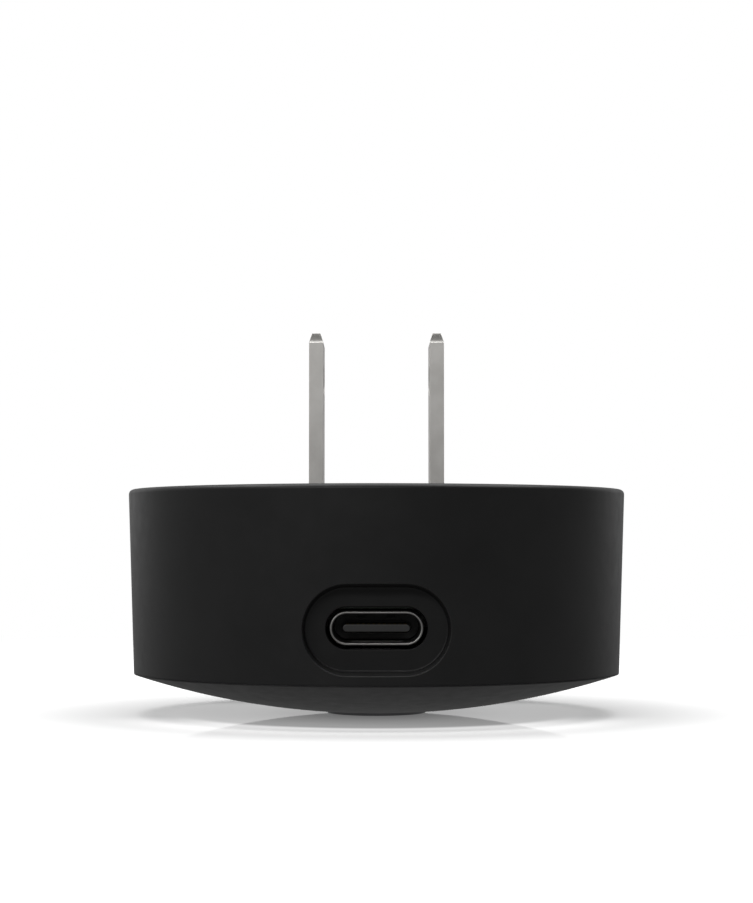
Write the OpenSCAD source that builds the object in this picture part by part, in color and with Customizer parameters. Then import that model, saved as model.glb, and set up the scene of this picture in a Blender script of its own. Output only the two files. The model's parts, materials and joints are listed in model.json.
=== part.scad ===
// Round wall plug with two flat blades, a USB-C outlet in its side and a push button in its domed front.
// +Z runs from the ring around the button, whose face is at z = 0, to the blades. The outlet faces -Y.

/* [Housing] */
// Radius of the housing at the wall side
wall_r = 26.2; // [25:0.1:28]
// Radius of the housing at the front rim
rim_r = 25.55; // [25:0.05:26]
// Height of the wall side face above the button's ring
face_z = 23.5; // [23:0.1:26]
// Radius of the sphere that the front dome is cut from
dome_r = 81; // [75:1:100]
// Height that the sphere's lowest point is above the face of the button's ring
dome_lift = 0.12; // [0.05:0.01:0.2]
// Thickness of the side wall
wall_t = 1.7; // [1.5:0.1:2]
// Thickness of the front dome
dome_t = 1.6; // [1.4:0.1:1.8]
// Rounding of the edge between side wall and wall side face
edge_r = 0.5; // [0.2:0.1:0.8]
// Height of the parting line between side wall and dome
seam_h = 0.05; // [0.05:0.05:0.2]

/* [Blades] */
// Distance between the middles of the two blades
blade_pitch = 12.7; // [12.7]
// Thickness of a blade
blade_t = 1.5; // [1.4:0.05:1.65]
// Width of a blade
blade_w = 6.35; // [6.2:0.05:6.5]
// Length of a blade outside the housing
blade_l = 16.5; // [15.9:0.1:18.2]
// Diameter of the hole in a blade
blade_hole_d = 3.2; // [3:0.1:3.2]
// Distance of that hole from the wall side face
blade_hole_up = 11.7; // [11:0.1:11.9]
// Height of the bevels around a blade's tip
tip_h = 1; // [0.5:0.1:1.4]
// Inset of the bevels around a blade's tip
tip_in = 0.3; // [0.2:0.05:0.4]

/* [Outlet] */
// Height of the middle of the outlet's recess
pocket_z = 9.62; // [9.55:0.01:9.7]
// Width of the recess at its mouth
pocket_w = 14.3; // [13.8:0.1:14.6]
// Height of the recess at its mouth
pocket_h = 8.65; // [8.4:0.05:8.8]
// Inset of the recess's walls between mouth and floor
pocket_draft = 0.28; // [0.1:0.02:0.4]
// Depth of the recess below the side wall's outermost point
pocket_d = 2.6; // [2.2:0.1:2.8]
// Height of the middle of the USB-C connector
usb_z = 9.75; // [9.7:0.01:9.8]
// Width of the connector's shell
usb_w = 8.94; // [8.94]
// Height of the connector's shell
usb_h = 3.26; // [3.26]
// Width of the connector's opening
usb_open_w = 8.34; // [8.34]
// Height of the connector's opening
usb_open_h = 2.56; // [2.56]
// Length of the connector's shell
usb_l = 7.35; // [7:0.05:7.6]
// Gap around the connector in the recess's floor
usb_gap = 0.37; // [0.25:0.01:0.4]

/* [Button] */
// Radius of the fixed ring around the button
ring_r = 5.2; // [5:0.1:5.4]
// Thickness of the ring's face
ring_t = 1; // [0.9:0.05:1.1]
// Bevel around the ring's face
ring_edge = 0.12; // [0.05:0.01:0.2]
// Gap around the ring in the dome
ring_gap = 0.1; // [0.08:0.01:0.12]
// Radius of the button in the ring
button_r = 2.6; // [2.2:0.1:2.8]
// Recess of the button's face in the ring
button_in = 0.08; // [0.04:0.01:0.12]
// Gap around the button in the ring
button_gap = 0.08; // [0.06:0.01:0.1]
// Travel of the button
button_travel = 0.35; // [0.2:0.05:0.4]

/* [Hidden] */
$fn = 96;
eps = 0.01;

black = [0.06, 0.06, 0.06];
nickel = [0.72, 0.71, 0.68];
copper = [0.75, 0.42, 0.2];

// Heights of the stack
dome_mid = dome_lift + dome_r;
rim_z = dome_mid - sqrt(dome_r * dome_r - rim_r * rim_r);
shell_z0 = rim_z + 2 * seam_h;
board_z0 = usb_z + usb_h / 2 + 0.2;
board_t = 1.2;
board_z1 = board_z0 + board_t;
plate_t = 1.8;
plate_z0 = face_z - plate_t;
carrier_z0 = plate_z0 - 6;

// Plan
board_r = 23.3;
plate_r = wall_r - 1.4;
draft_per_mm = (wall_r - rim_r) / (face_z - rim_z);
boss_at = 20.2;
boss_r = 2.6;
boss_angles = [45, 135, 225, 315];
snap_angles = [0, 90, 180, 238, 302];

// Radius of the side wall's outside at height z
function outer_r(z) = rim_r + draft_per_mm * (z - rim_z);
// Height of a sphere of radius r about the dome's centre, at distance d from the axis
function dome_z(r, d) = dome_mid - sqrt(r * r - d * d);

// Outlet
pocket_y = -outer_r(pocket_z) + pocket_d;
pocket_floor_t = 1;
pocket_wall = 1.1;
usb_front_y = pocket_y - 0.75;
usb_back_y = usb_front_y + usb_l;

// Push button and switch
flange_r = 6.4;
flange_z0 = dome_z(dome_r - dome_t, flange_r) + 0.09;
flange_t = 0.8;
sleeve_r = 4.6;
cap_z0 = ring_t + 0.05;
cap_r = 4.4;
guide_z0 = cap_z0 + 0.85;
guide_t = 0.8;
leg_x = 3.8;
switch_w = 5.2;
switch_z0 = board_z0 - 3.5;

// Driving sizes of the inner pieces
seat_r = plate_r + 0.1;
boss_z0 = board_z1 + 0.1;
boss_rib_l = wall_r - wall_t / 2 - boss_at;
pocket_over = 3;
panel_r = 16.5;
lip_r0 = 22.5;
lip_r1 = 23.7;
lip_h = 1.9;
snap_z = 7;
snap_w = 5;
snap_hook_h = 1.2;
screw_r = 0.85;
head_r = 2;
head_h = 0.85;
collar_z1 = 4.6;
blade_z0 = 17;
blade_z1 = face_z + blade_l;
shoulder_z0 = 18;
shoulder_h = 1.8;
shoulder_w = 8.2;
guide_r = 4.35;
led_h = 0.7;
leg_z1 = board_z0 - led_h - button_travel - 0.15;
stem_r = 1.5;
stem_z1 = switch_z0 + 1;
snap_dome_z = stem_z1 + button_travel + 0.25;
usb_tab_t = 0.3;
tab_ys = [usb_back_y - 3.1, usb_back_y - 0.8];
tongue_w = 6.4;
tongue_t = 0.7;
base_y = usb_back_y - 1.7;
notch_x = 1.48;
notch_l = 0.9;
contact_t = 0.02;
transformer_y = 12.9;
transformer_z = board_z1 + 4.3;
leg_h = 4.8;
choke_x = -16.4;
choke_y = -7.4;
radio_t = 0.8;

// Pulls the round value v towards a square's corner
function sq(v) = sign(v) * pow(abs(v), 0.5);

// The circle that a dome of radius r is cut from
module dome_circle(r) {
    translate([0, dome_mid]) circle(r = r, $fn = 360);
}

// A copy on each of the angles in list
module around(angles, distance) {
    for (angle = angles) rotate([0, 0, angle]) translate([distance, 0, 0]) children();
}

// A bar along Y with a stadium outline w wide and h high, from y0 to y1
module stadium(w, h, y0, y1) {
    translate([0, y1, 0]) rotate([90, 0, 0]) {
        for (side = [-1, 1]) translate([side * (w - h) / 2, 0, 0]) cylinder(d = h, h = y1 - y0);
        translate([-(w - h) / 2, -h / 2, 0]) cube([w - h, h, y1 - y0]);
    }
}

// The same bar, inset by `inset` at y1
module tapered_stadium(w, h, inset, y0, y1) {
    length = y1 - y0;
    flat = w - h;
    translate([0, y0, 0]) rotate([-90, 0, 0]) {
        for (side = [-1, 1])
            translate([side * flat / 2, 0, 0]) cylinder(d1 = h, d2 = h - 2 * inset, h = length);
        translate([-flat / 2, 0, 0]) rotate([90, 0, 90]) linear_extrude(flat)
            polygon([[-h / 2, 0], [h / 2, 0], [h / 2 - inset, length], [inset - h / 2, length]]);
    }
}

// A box centred on x and y that starts at z
module block(x, y, z, w, d, h) {
    translate([x - w / 2, y - d / 2, z]) cube([w, d, h]);
}

// ---- Housing ----

// Side wall with its rounded edge, as a ring
module wall_ring() {
    round_z = face_z - edge_r;
    rotate_extrude() {
        polygon([
            [outer_r(shell_z0) - wall_t, shell_z0], [outer_r(shell_z0) - seam_h, shell_z0],
            [outer_r(shell_z0 + seam_h), shell_z0 + seam_h], [outer_r(round_z), round_z],
            [seat_r, round_z], [seat_r, plate_z0], [outer_r(plate_z0) - wall_t, plate_z0]
        ]);
        translate([seat_r, round_z - eps]) square([outer_r(round_z) - edge_r - seat_r, edge_r + eps]);
        translate([outer_r(round_z) - edge_r, round_z]) intersection() {
            circle(r = edge_r);
            translate([-eps, -eps]) square(edge_r + eps);
        }
    }
}

module side_shell() {
    mouth_grow = pocket_draft * pocket_over / pocket_d;
    color(black) difference() {
        union() {
            wall_ring();
            translate([0, 0, pocket_z]) stadium(
                pocket_w + 2 * (pocket_wall - pocket_draft), pocket_h + 2 * (pocket_wall - pocket_draft),
                pocket_y - 1, pocket_y + pocket_floor_t
            );
            around(boss_angles, boss_at) {
                translate([0, 0, boss_z0]) cylinder(r = boss_r, h = plate_z0 - boss_z0);
                block(boss_rib_l / 2, 0, boss_z0, boss_rib_l, 1.6, plate_z0 - boss_z0);
            }
        }
        translate([0, 0, pocket_z]) tapered_stadium(
            pocket_w + 2 * mouth_grow, pocket_h + 2 * mouth_grow, pocket_draft + mouth_grow,
            pocket_y - pocket_d - pocket_over, pocket_y
        );
        translate([0, 0, usb_z])
            stadium(usb_w + 2 * usb_gap, usb_h + 2 * usb_gap, pocket_y - 1, pocket_y + 2 * pocket_floor_t);
        around(boss_angles, boss_at)
            translate([0, 0, boss_z0 + 1]) cylinder(r = screw_r + eps, h = plate_z0 - boss_z0);
        around(snap_angles, outer_r(snap_z) - wall_t)
            block(0, 0, snap_z - 0.1, 1, snap_w + 0.6, snap_hook_h + 0.2);
    }
}

module front_cover() {
    color(black) difference() {
        union() {
            rotate_extrude() {
                difference() {
                    intersection() {
                        dome_circle(dome_r);
                        square([rim_r, rim_z + seam_h]);
                    }
                    intersection() {
                        dome_circle(dome_r - dome_t);
                        square([lip_r0, 2 * rim_z]);
                    }
                }
                translate([lip_r0, rim_z]) square([lip_r1 - lip_r0, lip_h]);
                translate([flange_r + 0.15, dome_t]) square([1, collar_z1 - dome_t]);
            }
            around(boss_angles, boss_at)
                translate([0, 0, rim_z]) cylinder(r = 1.8, h = board_z0 - rim_z);
            around(snap_angles, lip_r0) {
                block((lip_r1 - lip_r0) / 2, 0, rim_z, lip_r1 - lip_r0, snap_w, snap_z - rim_z + eps);
                translate([0, 0, snap_z]) rotate([90, 0, 0]) linear_extrude(snap_w, center = true) polygon([
                    [0, 0], [lip_r1 - lip_r0 + 0.4, 0], [lip_r1 - lip_r0 - 0.2, snap_hook_h], [0, snap_hook_h]
                ]);
            }
        }
        translate([0, 0, -1]) cylinder(r = ring_r + ring_gap, h = 10);
        block(0, -lip_r1, rim_z + seam_h, pocket_w + 3, 6, lip_h);
    }
}

module rear_plate() {
    color(black) difference() {
        rotate_extrude() polygon([
            [0, plate_z0], [plate_r, plate_z0], [plate_r, face_z - 0.25], [plate_r - 0.25, face_z],
            [panel_r + 0.2, face_z], [panel_r, face_z - 0.2], [0, face_z - 0.2]
        ]);
        for (side = [-1, 1])
            block(side * blade_pitch / 2, 0, plate_z0 - 1, blade_t + 0.1, blade_w + 0.1, plate_t + 2);
        around(boss_angles, boss_at) {
            translate([0, 0, plate_z0 - 1]) cylinder(r = screw_r + 0.3, h = plate_t + 2);
            translate([0, 0, face_z - head_h - 0.15]) cylinder(r = head_r + 0.2, h = head_h + 1);
        }
    }
}

module case_screws() {
    color(nickel) around(boss_angles, boss_at) difference() {
        union() {
            translate([0, 0, boss_z0 + 1.5])
                cylinder(r = screw_r, h = face_z - head_h - 0.15 - boss_z0 - 1.5 + eps);
            translate([0, 0, face_z - head_h - 0.15]) rotate_extrude() polygon([
                [0, 0], [head_r, 0], [head_r, head_h - 0.35], [head_r - 0.35, head_h], [0, head_h]
            ]);
        }
        for (turn = [0, 90])
            rotate([0, 0, turn + 45]) block(0, 0, face_z - 0.6, 2 * head_r - 1.4, 0.5, 1);
    }
}

// ---- Blades ----

// Upper outline of a blade of width w seen from one side
module blade_outline(w) {
    polygon([
        [-w / 2, blade_z0], [w / 2, blade_z0], [w / 2, blade_z1 - tip_h],
        [w / 2 - tip_in, blade_z1], [tip_in - w / 2, blade_z1], [-w / 2, blade_z1 - tip_h]
    ]);
}

module blade(side) {
    color(nickel) translate([side * blade_pitch / 2, 0, 0]) difference() {
        union() {
            intersection() {
                rotate([90, 0, 0]) linear_extrude(blade_w, center = true) blade_outline(blade_t);
                rotate([90, 0, 90]) linear_extrude(blade_t, center = true) blade_outline(blade_w);
            }
            block(0, 0, shoulder_z0, blade_t, shoulder_w, shoulder_h);
        }
        translate([0, 0, face_z + blade_hole_up]) rotate([0, 90, 0])
            cylinder(d = blade_hole_d, h = 2 * blade_t, center = true);
    }
}

module blade_left() { blade(-1); }
module blade_right() { blade(1); }

module blade_carrier() {
    color("ivory") difference() {
        block(0, 0, carrier_z0, 19, 9.4, plate_z0 - carrier_z0);
        for (side = [-1, 1]) translate([side * blade_pitch / 2, 0, 0]) {
            block(0, 0, carrier_z0 - 1, blade_t + 0.04, blade_w + 0.04, plate_z0);
            block(0, 0, carrier_z0 - 1, blade_t + 0.04, shoulder_w + 0.04,
                shoulder_z0 + shoulder_h + 0.04 - carrier_z0 + 1);
        }
    }
}

// Strip between a blade's root and the board
module blade_lead(side) {
    color("gold") block(side * blade_pitch / 2, 0, board_z1, 1, 3.2, blade_z0 - board_z1);
}

module blade_lead_left() { blade_lead(-1); }
module blade_lead_right() { blade_lead(1); }

// ---- Button, its ring, its light and its switch ----

module button_ring() {
    sleeve_z1 = flange_z0 + flange_t;
    color(black) rotate_extrude() polygon([
        [button_r + button_gap, 0], [ring_r - ring_edge, 0], [ring_r, ring_edge], [ring_r, flange_z0],
        [flange_r, flange_z0], [flange_r, sleeve_z1], [sleeve_r, sleeve_z1], [sleeve_r, ring_t],
        [button_r + button_gap, ring_t]
    ]);
}

module front_button() {
    color([0.16, 0.16, 0.16]) rotate_extrude() polygon([
        [0, button_in], [button_r - ring_edge, button_in], [button_r, button_in + ring_edge],
        [button_r, cap_z0], [cap_r, cap_z0], [cap_r, guide_z0], [0, guide_z0]
    ]);
}

module light_guide() {
    color([0.8, 0.8, 0.78]) {
        translate([0, 0, guide_z0]) cylinder(r = guide_r, h = guide_t);
        for (side = [-1, 1])
            block(side * leg_x, 0, guide_z0 + guide_t - eps, 1, 1.8, leg_z1 - guide_z0 - guide_t + eps);
    }
}

module switch_stem() {
    color("white") translate([0, 0, guide_z0 + guide_t])
        cylinder(r = stem_r, h = stem_z1 - guide_z0 - guide_t);
}

module switch_body() {
    color([0.15, 0.15, 0.15]) difference() {
        block(0, 0, switch_z0, switch_w, switch_w, board_z0 - switch_z0);
        translate([0, 0, switch_z0 - 1]) cylinder(r = stem_r + 0.1, h = snap_dome_z - switch_z0 + 1);
        translate([0, 0, snap_dome_z - 0.1]) cylinder(r = 2.2, h = 0.4);
    }
}

module switch_dome() {
    color("gold") translate([0, 0, snap_dome_z]) cylinder(r = 2.1, h = 0.1);
}

module switch_cover() {
    color(nickel) {
        difference() {
            block(0, 0, switch_z0 - 0.25, switch_w, switch_w, 0.25);
            translate([0, 0, switch_z0 - 1]) cylinder(r = stem_r + 0.2, h = 2);
        }
        for (side = [-1, 1]) block(0, side * (switch_w / 2 + 0.1), switch_z0 - 0.25, 2.4, 0.2, 2.2);
    }
}

module status_leds() {
    color("khaki") for (side = [-1, 1]) block(side * leg_x, 0, board_z0 - led_h, 1, 1.7, led_h);
}

// ---- USB-C outlet ----

module usb_shell() {
    color(nickel) translate([0, 0, usb_z]) {
        difference() {
            stadium(usb_w, usb_h, usb_front_y, usb_back_y);
            stadium(usb_open_w, usb_open_h, usb_front_y - 1, usb_back_y + 1);
            tapered_stadium(usb_open_w + 0.5, usb_open_h + 0.5, 0.25, usb_front_y - 0.15, usb_front_y + 0.1);
            block(0, usb_front_y + 2.2, -usb_h, 4.9, 1.1, usb_h - 0.6);
        }
        // Mounting tabs
        for (side = [-1, 1], y = tab_ys)
            block(side * (usb_w - usb_tab_t) / 2, y, 0, usb_tab_t, 1.1, board_z1 - usb_z - 0.1);
    }
}

module usb_tongue() {
    color([0.09, 0.09, 0.09]) translate([0, 0, usb_z]) {
        stadium(tongue_w, tongue_t, usb_front_y + 0.6, usb_back_y);
        // Base that fills the shell, with a groove around the tongue and two notches in its upper edge
        difference() {
            stadium(usb_open_w - 0.04, usb_open_h - 0.04, base_y, usb_back_y);
            stadium(tongue_w + 0.45, tongue_t + 0.56, base_y - 1, base_y + notch_l);
            for (side = [-1, 1]) translate([side * notch_x, base_y - eps, usb_open_h / 2]) rotate([-90, 0, 0])
                linear_extrude(notch_l) polygon([[-0.5, -0.1], [0.5, -0.1], [0.4, 0.26], [-0.4, 0.26]]);
        }
    }
}

module usb_contacts() {
    color("gold") translate([0, 0, usb_z]) for (i = [0:11], side = [0, 1]) mirror([0, 0, side])
        block((i - 5.5) * 0.5, usb_front_y + 2.2, tongue_t / 2, 0.25, 2.6, contact_t);
}

// ---- Board and what it carries ----

module main_board() {
    color("darkgreen") difference() {
        translate([0, 0, board_z0]) cylinder(r = board_r, h = board_t);
        block(0, -board_r, board_z0 - 1, pocket_w + 3, 2 * (board_r + pocket_y + pocket_floor_t + 0.2), 5);
        for (side = [-1, 1], y = tab_ys)
            block(side * (usb_w - usb_tab_t) / 2, y, board_z0 - 1, usb_tab_t + 0.4, 1.5, 5);
    }
}

module insulation_sheet() {
    color("white") difference() {
        translate([0, 0, plate_z0 - 0.35]) cylinder(r = 17, h = 0.2);
        block(0, 0, plate_z0 - 1, 19.4, 9.8, 2);
    }
}

// A cylinder of radius r along X from x to x + l, its axis at y and z
module along_x(r, x, y, z, l) {
    translate([x, y, z]) rotate([0, 90, 0]) cylinder(r = r, h = l);
}

module transformer_core() {
    color([0.22, 0.22, 0.24]) translate([0, transformer_y, transformer_z]) difference() {
        block(0, 0, -leg_h / 2, 16, 14.4, leg_h);
        for (side = [-1, 1]) block(0, side * 4, -leg_h, 10.6, 3.4, 2 * leg_h);
    }
}

module transformer_bobbin() {
    color("ivory") translate([0, transformer_y, transformer_z]) difference() {
        union() {
            for (side = [-1, 1]) block(side * 4.9, 0, board_z1 - transformer_z, 0.7, 11.2, 8.2);
            block(0, 0, -2.8, 9.8, 5.4, 5.6);
        }
        block(0, 0, -leg_h / 2 - 0.02, 20, 4.64, leg_h + 0.04);
    }
}

module transformer_winding() {
    color("goldenrod") translate([0, transformer_y, transformer_z]) difference() {
        rotate([90, 0, 90]) linear_extrude(9, center = true)
            polygon([for (a = [0:10:350]) [5 * sq(cos(a)), 3.6 * sq(sin(a))]]);
        block(0, 0, -2.82, 20, 5.44, 5.64);
    }
}

// Electrolytic capacitor lying along X, with its crimp and its two bent leads
module lying_capacitor(side) {
    x0 = 0.6;
    can_r = 3.8;
    z = board_z1 + can_r + 0.1;
    translate([0, -9.4, 0]) mirror([side < 0 ? 1 : 0, 0, 0]) {
        color("darkslateblue") translate([x0, 0, z]) rotate([0, 90, 0]) rotate_extrude() polygon([
            [0, 0], [can_r - 0.3, 0], [can_r, 0.3], [can_r, 8.6], [can_r - 0.5, 9], [can_r, 9.4],
            [can_r, 10.2], [can_r - 0.4, 10.5], [0, 10.5]
        ]);
        for (y = [-1.2, 1.2]) {
            block(x0 + 10.85, y, z - 0.25, 0.7, 0.5, 0.5);
            block(x0 + 11.25, y, board_z1, 0.5, 0.5, z + 0.25 - board_z1);
        }
    }
}

module bulk_capacitor_left() { color("darkslateblue") lying_capacitor(-1); }
module bulk_capacitor_right() { color("darkslateblue") lying_capacitor(1); }

module output_capacitor() {
    color("silver") translate([17.6, 4.2, board_z1]) rotate_extrude() polygon([
        [0, 0], [3.15, 0], [3.15, 0.8], [2.8, 1.1], [3.15, 1.4], [3.15, 7.6], [2.85, 7.9], [0, 7.9]
    ]);
}

module x_capacitor() {
    color("gold") block(0, -17.3, board_z1, 12, 4.6, 7.8);
}

module y_capacitor() {
    color("steelblue") {
        along_x(2.8, 13.4, -6.6, board_z1 + 3.3, 2.4);
        for (y = [-8.1, -5.1]) block(14.6, y, board_z1, 0.5, 0.5, 2.4);
    }
}

module varistor() {
    color("royalblue") {
        along_x(3.1, -14, 7.7, board_z1 + 3.6, 2.6);
        for (y = [6.2, 9.2]) block(-12.7, y, board_z1, 0.6, 0.6, 2.4);
    }
}

module fuse() {
    color("lightgray") translate([-17.2, 0, board_z1 + 1.9]) rotate([-90, 0, 0]) {
        translate([0, 0, -2.9]) cylinder(r = 1.5, h = 8.4);
        for (z = [-2.9, 3.9]) translate([0, 0, z]) cylinder(r = 1.8, h = 1.6);
    }
}

// Drum core of radius r and height h
module drum(r, leg_r, h, flange) {
    cylinder(r = leg_r, h = h);
    for (z = [0, h - flange]) translate([0, 0, z]) cylinder(r = r, h = flange);
}

module choke_core() {
    color([0.2, 0.2, 0.22]) translate([choke_x, choke_y, board_z1]) drum(3.2, 1.2, 7.4, 0.9);
}

module choke_winding() {
    color(copper) translate([choke_x, choke_y, board_z1 + 0.92]) difference() {
        cylinder(r = 2.9, h = 5.56);
        translate([0, 0, -1]) cylinder(r = 1.22, h = 10);
    }
}

module output_inductor() {
    color([0.25, 0.25, 0.27]) difference() {
        block(12.6, -3, board_z0 - 2.8, 6, 6, 2.8);
        for (turn = [0:90:270]) translate([12.6, -3, 0]) rotate([0, 0, turn + 45])
            block(4.6, 0, board_z0 - 4, 2, 4, 6);
    }
}

// Chip package with n legs on each long side, its top side towards +Z
module chip(w, d, h, n) {
    block(0, 0, 0.1, w, d, h - 0.1);
    for (i = [0:n - 1], side = [-1, 1])
        block((i - (n - 1) / 2) * 1.27, side * (d / 2 + 0.45), 0, 0.4, 0.9, 0.3);
}

module bridge_rectifier() {
    color([0.1, 0.1, 0.1]) translate([-3, 0, board_z1]) chip(4.6, 3.8, 1.5, 2);
}

module power_chip() {
    color([0.1, 0.1, 0.1]) translate([2.9, 0, board_z1]) chip(4.9, 3.8, 1.5, 4);
}

module usb_power_chip() {
    color([0.1, 0.1, 0.1]) translate([9.6, -10.6, board_z0]) mirror([0, 0, 1]) chip(4.9, 3.8, 1.2, 4);
}

module radio_board() {
    color("darkblue") block(0, 13.6, board_z0 - radio_t, 13, 15, radio_t);
}

module radio_shield() {
    color(nickel) difference() {
        block(0, 11.6, board_z0 - radio_t - 2, 11, 9.4, 2);
        block(0, 11.6, board_z0 - radio_t - 1.7, 10.4, 8.8, 2);
    }
}

// Printed antenna: a meander of seven strips
module radio_antenna() {
    step = 1.5;
    color("gold") for (i = [0:6]) {
        block((i - 3) * step, 18.6, board_z0 - radio_t - 0.1, 0.5, 3.4, 0.1);
        if (i < 6) block((i - 2.5) * step, 18.6 + (i % 2 == 0 ? 1.45 : -1.45), board_z0 - radio_t - 0.1,
            step, 0.5, 0.1);
    }
}

side_shell();
front_cover();
rear_plate();
case_screws();
blade_left();
blade_right();
blade_carrier();
blade_lead_left();
blade_lead_right();
button_ring();
front_button();
light_guide();
switch_stem();
switch_body();
switch_cover();
switch_dome();
usb_shell();
usb_tongue();
usb_contacts();
main_board();
insulation_sheet();
status_leds();
transformer_core();
transformer_bobbin();
transformer_winding();
bulk_capacitor_left();
bulk_capacitor_right();
output_capacitor();
x_capacitor();
y_capacitor();
fuse();
varistor();
choke_core();
choke_winding();
output_inductor();
bridge_rectifier();
power_chip();
usb_power_chip();
radio_board();
radio_shield();
radio_antenna();
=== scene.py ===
"""Looks of a round wall plug: flat blades, a USB-C outlet in its side, a button in its front."""
import json
import math

import bmesh
import bpy
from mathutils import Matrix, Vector


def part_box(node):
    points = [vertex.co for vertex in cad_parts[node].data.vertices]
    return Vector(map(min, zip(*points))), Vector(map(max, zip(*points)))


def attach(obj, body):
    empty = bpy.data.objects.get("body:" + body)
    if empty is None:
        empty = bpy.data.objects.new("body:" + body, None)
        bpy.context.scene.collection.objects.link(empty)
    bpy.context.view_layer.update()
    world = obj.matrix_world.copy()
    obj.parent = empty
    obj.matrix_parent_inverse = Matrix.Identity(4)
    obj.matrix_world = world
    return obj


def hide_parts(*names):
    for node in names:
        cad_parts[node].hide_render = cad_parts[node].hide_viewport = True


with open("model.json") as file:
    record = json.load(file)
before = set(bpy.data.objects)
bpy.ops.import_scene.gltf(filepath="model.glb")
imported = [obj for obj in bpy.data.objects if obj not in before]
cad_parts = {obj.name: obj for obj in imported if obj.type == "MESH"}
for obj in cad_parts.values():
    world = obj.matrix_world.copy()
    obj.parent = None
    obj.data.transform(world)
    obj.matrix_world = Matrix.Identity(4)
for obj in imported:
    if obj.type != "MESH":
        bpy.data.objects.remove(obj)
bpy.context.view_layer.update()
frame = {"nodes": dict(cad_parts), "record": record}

# ---- Sizes, in metres ----
MM = 0.001

# Housing
SEAM = 0.05 * MM
COVER_GAP = 0.01 * MM
PLATE_GAP = 0.1 * MM
EDGE_R = 0.5 * MM
WALL_T = 1.7 * MM
DOME_R = 81 * MM
DOME_LIFT = 0.12 * MM
DOME_T = 1.6 * MM
shell_low, shell_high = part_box("side_shell")
cover_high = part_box("front_cover")[1]
plate_low, plate_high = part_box("rear_plate")
FACE_Z = shell_high.z
RIM_Z = shell_low.z - 2 * SEAM
COVER_TOP = shell_low.z - COVER_GAP
RIM_R = cover_high.x
DRAFT = (shell_high.x - RIM_R) / (FACE_Z - EDGE_R - RIM_Z)
DOME_MID = DOME_LIFT + DOME_R
SEAT_R = plate_high.x + PLATE_GAP
PLATE_Z0 = plate_low.z

# Blades: height of the coined bevels around the tip
TIP_H = 1 * MM
TIP_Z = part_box("blade_left")[1].z

# Outlet's recess
POCKET_Z = 9.62 * MM
POCKET_W = 14.3 * MM
POCKET_H = 8.65 * MM
POCKET_DRAFT = 0.28 * MM
POCKET_D = 2.6 * MM
POCKET_FLOOR_T = 1 * MM
POCKET_WALL_T = 1.1 * MM
POCKET_BACK_R = POCKET_H / 2 - POCKET_DRAFT + POCKET_WALL_T
MOUTH_FILLET = 0.12 * MM
FLOOR_FILLET = 0.2 * MM
HOLE_FILLET = 0.12 * MM
USB_GAP = 0.37 * MM

# USB-C connector
usb_low, usb_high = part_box("usb_shell")
tongue_low, tongue_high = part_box("usb_tongue")
USB_W = usb_high.x - usb_low.x
USB_H = 3.26 * MM
USB_Z = usb_low.z + USB_H / 2
USB_FRONT = usb_low.y
TONGUE_W = 6.4 * MM
TONGUE_T = 0.7 * MM
BASE_L = 1.7 * MM
BASE_Y = usb_high.y - BASE_L
BASE_W = tongue_high.x - tongue_low.x
BASE_H = tongue_high.z - tongue_low.z
GROOVE_W = TONGUE_W + 0.45 * MM
GROOVE_H = TONGUE_T + 0.56 * MM
NOTCH_X = 1.48 * MM
NOTCH_L = 0.9 * MM

# Button and its ring
ring_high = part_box("button_ring")[1]
button_low, button_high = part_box("front_button")
RING_R = 5.2 * MM
RING_T = 1 * MM
RING_GAP = 0.1 * MM
RING_EDGE = 0.12 * MM
BUTTON_R = 2.6 * MM
BUTTON_GAP = 0.08 * MM
FLANGE_R = ring_high.x
FLANGE_T = 0.8 * MM
SLEEVE_R = 4.6 * MM
CAP_R = button_high.x
CAP_GAP = 0.05 * MM
CAP_Z0 = RING_T + CAP_GAP

# Camera: level with the upper half of the side wall, in front of the outlet
EYE_DISTANCE = 227.56 * MM
EYE_Z = RIM_Z + 13.05 * MM
LENS_MM = 85.26
SENSOR_MM = 36
PITCH_DEG = 2.603


# ---- Mesh helpers ----
# Faces that meet at more than HARD_DEG make a hard edge, and faces within FLAT_DEG become one
HARD_DEG = 35
FLAT_DEG = 0.3
MERGE_DIST = 1e-6
ON_AXIS = 1e-9


def add_object(name, mesh):
    """Links a new object that shows the mesh."""
    piece = bpy.data.objects.new(name, mesh)
    bpy.context.scene.collection.objects.link(piece)
    return piece


def smooth_by_angle(mesh, degrees=HARD_DEG):
    """Shades the mesh smoothly, with hard edges where faces meet at more than that angle."""
    mesh.polygons.foreach_set("use_smooth", [True] * len(mesh.polygons))
    mesh.set_sharp_from_angle(angle=math.radians(degrees))


def solid(name, points, faces, normals=None, hard=HARD_DEG):
    """A closed mesh whose faces look outwards. normals maps a point's number to its exact normal."""
    shape = bmesh.new()
    corners = [shape.verts.new(point) for point in points]
    for face in faces:
        shape.faces.new([corners[i] for i in face])
    bmesh.ops.recalc_face_normals(shape, faces=shape.faces)
    mesh = bpy.data.meshes.new(name)
    shape.to_mesh(mesh)
    shape.free()
    smooth_by_angle(mesh, hard)
    if normals:
        set_exact_normals(mesh, normals)
    return add_object(name, mesh)


def set_exact_normals(mesh, normals):
    """Gives the corners at those points their exact normals, except on faces across a hard edge."""
    limit = math.cos(math.radians(HARD_DEG))
    corner_normals = [corner.vector.copy() for corner in mesh.corner_normals]
    for face in mesh.polygons:
        for loop in face.loop_indices:
            exact = normals.get(mesh.loops[loop].vertex_index)
            if exact is not None and face.normal.dot(exact) > limit:
                corner_normals[loop] = exact
    mesh.normals_split_custom_set(corner_normals)


def swing(start, end, share):
    """The vector that lies that share of the way along the arc between two of the same length."""
    angle = start.angle(end)
    return (start * math.sin((1 - share) * angle) + end * math.sin(share * angle)) / math.sin(angle)


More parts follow.
